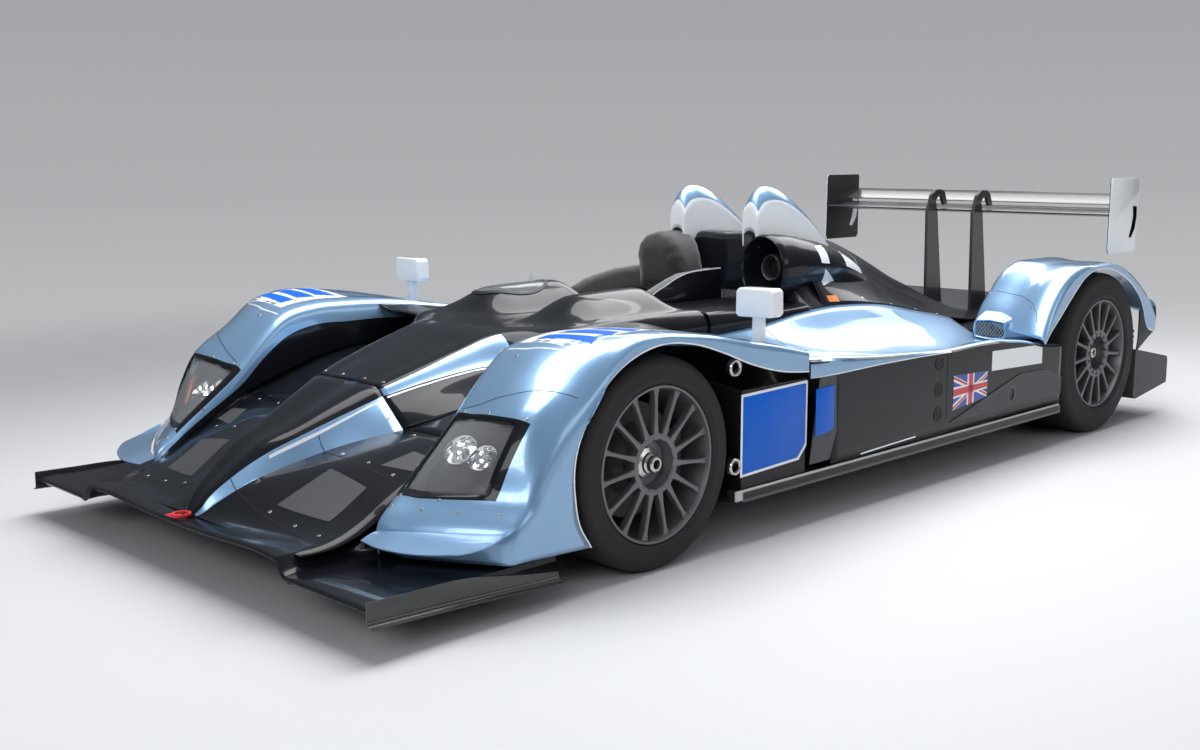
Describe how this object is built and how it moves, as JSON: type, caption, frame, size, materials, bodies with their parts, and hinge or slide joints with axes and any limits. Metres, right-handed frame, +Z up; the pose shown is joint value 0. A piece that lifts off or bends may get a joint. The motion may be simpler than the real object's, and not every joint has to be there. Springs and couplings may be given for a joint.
{
  "type": "open-cockpit sports prototype race car",
  "caption": "Low open-cockpit endurance racing car with a ridged nose, arched fenders, side tunnels, twin hoop fairings, a rear wing on swan-neck supports and turning, steering wheels.",
  "frame": {"origin": "middle of the car's plan box, on the ground", "axes": "+Z up, +Y towards the tail along the car's length, +X towards the car's left side"},
  "size_m": [1.992, 4.65, 1.1139],
  "materials": {
    "blue_paint": "metallic light blue paint, clear-coated",
    "black_paint": "gloss black paint on composite",
    "carbon": "clear-coated woven composite",
    "white_paint": "gloss white paint",
    "tyre": "slick racing rubber",
    "rim": "satin gunmetal magnesium",
    "steel": "machined steel",
    "iron": "carbon brake disc and dark hub",
    "alloy": "machined aluminium",
    "lens": "clear hard-coated polycarbonate",
    "lamp": "bright reflector bowl",
    "board": "blank royal blue plate with a white border",
    "red": "red webbing",
    "red_lamp": "red lamp lens",
    "wood": "laminated skid plank",
    "pad": "black padded flame-proof fabric",
    "seat": "black seat shell with cloth face",
    "grip": "black moulded grip"
  },
  "bodies": {
    "root": {"monocoque": "carbon", "nose_cone": "black_paint", "cockpit_surround": "black_paint", "windscreen": "lens", "front_splitter": "black_paint", "splitter_fences": "carbon", "front_fender_left": "blue_paint", "front_fender_right": "blue_paint", "headlamp_lenses": "lens", "headlamp_units": "lamp", "dive_planes": "blue_paint", "arch_exit_panels": "black_paint", "number_boards": "board", "mirrors": "white_paint", "sidepod_left": "black_paint", "sidepod_right": "black_paint", "floor_tray": "carbon", "skid_block": "wood", "seat": "seat", "headrest_pad": "pad", "roll_hoop_fairings": "white_paint", "air_intake": "carbon", "engine_cover": "black_paint", "engine_block": "alloy", "rear_crash_box": "carbon", "rear_light": "red_lamp", "rear_deck": "black_paint", "rear_fender_left": "blue_paint", "rear_fender_right": "blue_paint", "diffuser": "carbon", "diffuser_corners": "carbon", "rear_wing": "carbon", "wing_endplates": "white_paint", "wing_pylons": "carbon", "tow_loop": "red", "channel_panels": "black_paint", "cockpit_pads": "pad", "turning_vanes": "carbon", "exhaust_outlets": "black_paint", "tail_fairings": "black_paint", "rear_uprights": "alloy", "front_suspension": "steel", "rear_suspension": "steel"},
    "knuckle_left": {"front_upright_left": "alloy"},
    "knuckle_right": {"front_upright_right": "alloy"},
    "steering": {"steering_wheel": "grip"},
    "wheel_front_left": {"tyre_front_left": "tyre", "rim_front_left": "rim", "hub_front_left": "iron"},
    "wheel_front_right": {"tyre_front_right": "tyre", "rim_front_right": "rim", "hub_front_right": "iron"},
    "wheel_rear_left": {"tyre_rear_left": "tyre", "rim_rear_left": "rim", "hub_rear_left": "iron"},
    "wheel_rear_right": {"tyre_rear_right": "tyre", "rim_rear_right": "rim", "hub_rear_right": "iron"}
  },
  "joints": [
    {"name": "steer_left", "type": "hinge", "parent": "root", "child": "knuckle_left", "pos_m": [0.8, -1.275, 0.325], "axis": [0, 0, 1], "range_deg": [-15, 15]},
    {"name": "steer_right", "type": "hinge", "parent": "root", "child": "knuckle_right", "pos_m": [-0.8, -1.275, 0.325], "axis": [0, 0, 1], "range_deg": [-15, 15]},
    {"name": "steering_column", "type": "hinge", "parent": "root", "child": "steering", "pos_m": [-0.207, -0.33, 0.575], "axis": [0, 0.9438, 0.3304], "range_deg": [-150, 150]},
    {"name": "spin_front_left", "type": "hinge", "parent": "knuckle_left", "child": "wheel_front_left", "pos_m": [0.8, -1.275, 0.325], "axis": [1, 0, 0], "continuous": true},
    {"name": "spin_front_right", "type": "hinge", "parent": "knuckle_right", "child": "wheel_front_right", "pos_m": [-0.8, -1.275, 0.325], "axis": [1, 0, 0], "continuous": true},
    {"name": "spin_rear_left", "type": "hinge", "parent": "root", "child": "wheel_rear_left", "pos_m": [0.8, 1.595, 0.355], "axis": [1, 0, 0], "continuous": true},
    {"name": "spin_rear_right", "type": "hinge", "parent": "root", "child": "wheel_rear_right", "pos_m": [-0.8, 1.595, 0.355], "axis": [1, 0, 0], "continuous": true}
  ],
  "couplings": [
    {"joint": "steer_right", "follows": "steer_left", "ratio": 1},
    {"joint": "steering_column", "follows": "steer_left", "ratio": -10}
  ]
}
